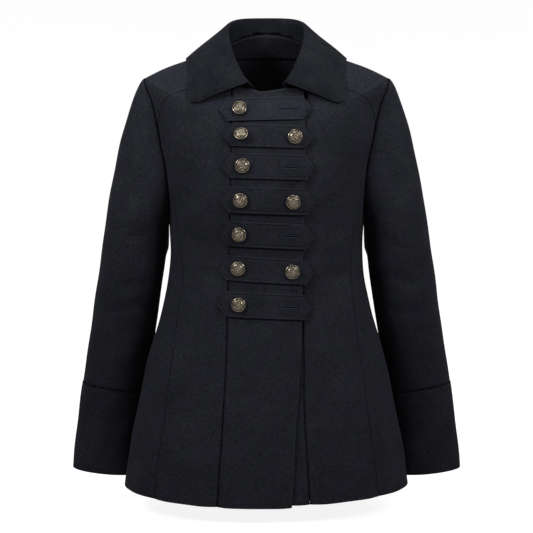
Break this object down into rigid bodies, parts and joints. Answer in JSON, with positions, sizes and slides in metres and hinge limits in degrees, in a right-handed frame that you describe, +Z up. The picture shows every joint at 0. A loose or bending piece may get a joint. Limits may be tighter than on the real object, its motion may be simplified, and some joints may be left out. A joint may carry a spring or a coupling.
{
  "type": "short wool coat",
  "caption": "Hip-length tailored coat, hollow as worn, with turn-down collar, tabbed overlapping front, domed buttons and deep cuffs.",
  "frame": {"origin": "between the shoulders, on the middle plane, where the wearer's shoulders carry the coat", "axes": "+Z up, -Y out of the front, +X to the wearer's left"},
  "size_m": [0.6382, 0.2829, 0.7609],
  "materials": {
    "coating": "matt felted twill",
    "collar_cloth": "matt felted twill",
    "facing": "matt",
    "thread": "satin",
    "aged_brass": "aged, satin"
  },
  "bodies": {
    "root": {"back": "coating", "back_neck_facing": "facing", "band_left": "coating", "band_right": "coating", "button_1_right": "aged_brass", "button_2_left": "aged_brass", "button_2_right": "aged_brass", "button_3_right": "aged_brass", "button_4_left": "aged_brass", "button_4_right": "aged_brass", "button_5_right": "aged_brass", "button_6_left": "aged_brass", "button_6_right": "aged_brass", "button_7_right": "aged_brass", "collar": "collar_cloth", "cuff_left": "coating", "cuff_right": "coating", "front_left": "coating", "front_right": "coating", "side_left": "coating", "side_right": "coating", "sleeve_left": "coating", "sleeve_right": "coating", "tab_1": "coating", "tab_2": "coating", "tab_3": "coating", "tab_4": "coating", "tab_5": "coating", "tab_6": "coating", "tab_7": "coating", "yoke_left": "coating", "yoke_right": "coating"}
  },
  "joints": []
}
